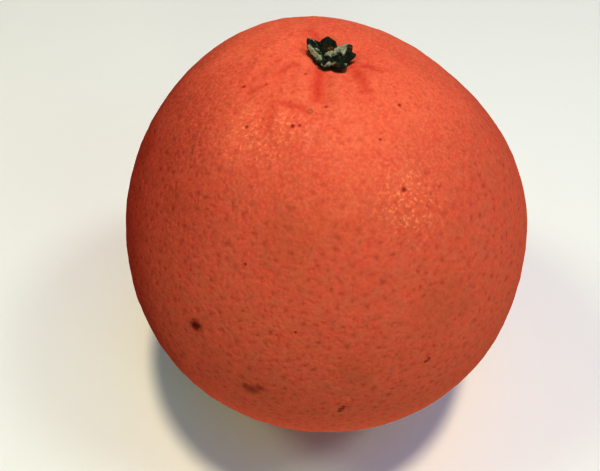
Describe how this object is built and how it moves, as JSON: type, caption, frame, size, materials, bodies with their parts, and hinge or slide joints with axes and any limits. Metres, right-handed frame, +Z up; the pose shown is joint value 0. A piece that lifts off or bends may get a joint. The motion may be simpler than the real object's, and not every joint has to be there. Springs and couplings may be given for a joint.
{
  "type": "orange",
  "caption": "Whole round orange as picked, with pitted peel, a dried star-shaped calyx in a shallow hollow on top, and a flattened blossom end that it stands on.",
  "frame": {"origin": "middle of the flattened spot that the fruit stands on, under the middle of its box", "axes": "+Z up along the stem axis, -Y towards the side seen first, +X to the right of it"},
  "size_m": [0.0744, 0.0754, 0.0742],
  "materials": {
    "peel": "waxy orange peel with small pits, satin gloss",
    "dried_calyx": "dried dark green, wrinkled, slightly glossy",
    "cut_stalk": "dry brown, matt"
  },
  "bodies": {
    "root": {"fruit": "peel", "calyx": "dried_calyx", "stem_stub": "cut_stalk"}
  },
  "joints": []
}
